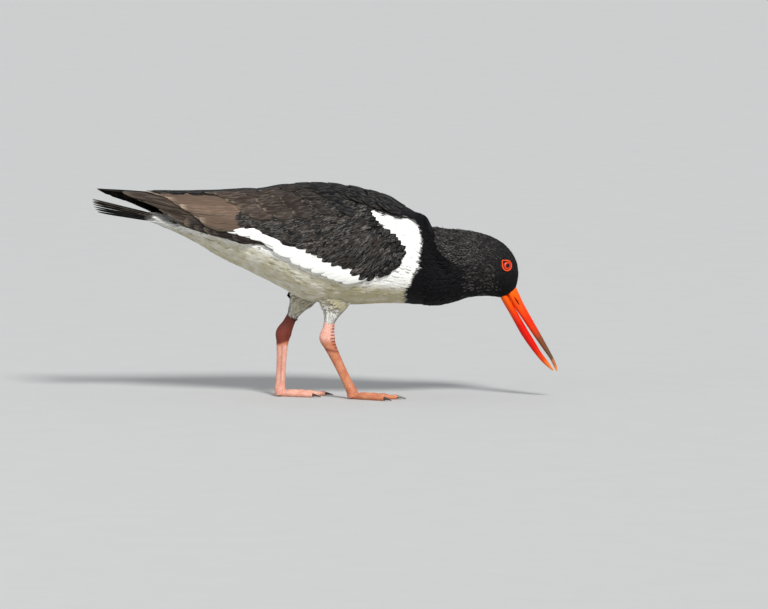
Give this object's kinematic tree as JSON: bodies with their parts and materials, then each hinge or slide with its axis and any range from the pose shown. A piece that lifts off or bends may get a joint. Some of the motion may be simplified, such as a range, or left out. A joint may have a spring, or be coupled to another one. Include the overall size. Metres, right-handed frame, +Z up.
{
  "type": "eurasian oystercatcher model",
  "caption": "Life-size still model of a Eurasian oystercatcher walking with its head down and its bill just open.",
  "frame": {"origin": "on the floor under the soles, at the middle of the bounding box seen from above", "axes": "+X forward, the way the bird faces; +Y to its left; +Z up"},
  "size_m": [0.382, 0.0942, 0.1751],
  "materials": {
    "white_plumage": "soft white body feathers, cream in the shade below",
    "black_plumage": "deep black feathers with a faint silky gloss",
    "brown_plumage": "black-brown flight feathers and coverts, worn paler at the edges",
    "bill_horn": "smooth red-orange horn, satin, dusky near the tip",
    "iris": "wet red eye with a black pupil",
    "eye_ring_skin": "bare orange-red skin, satin",
    "leg_skin": "pink scaly leg skin, satin",
    "claw_horn": "dark blunt horn"
  },
  "bodies": {
    "root": {"back": "black_plumage", "bill_lower": "bill_horn", "bill_upper": "bill_horn", "claw_inner_left": "claw_horn", "claw_inner_right": "claw_horn", "claw_middle_left": "claw_horn", "claw_middle_right": "claw_horn", "claw_outer_left": "claw_horn", "claw_outer_right": "claw_horn", "eye_left": "iris", "eye_right": "iris", "eye_ring_left": "eye_ring_skin", "eye_ring_right": "eye_ring_skin", "head": "black_plumage", "neck": "black_plumage", "shank_left": "leg_skin", "shank_right": "leg_skin", "tail": "black_plumage", "tail_coverts": "white_plumage", "tarsus_left": "leg_skin", "tarsus_right": "leg_skin", "thigh_left": "white_plumage", "thigh_right": "white_plumage", "toe_inner_left": "leg_skin", "toe_inner_right": "leg_skin", "toe_middle_left": "leg_skin", "toe_middle_right": "leg_skin", "toe_outer_left": "leg_skin", "toe_outer_right": "leg_skin", "torso": "white_plumage", "wing_left": "brown_plumage", "wing_right": "brown_plumage"}
  },
  "joints": []
}
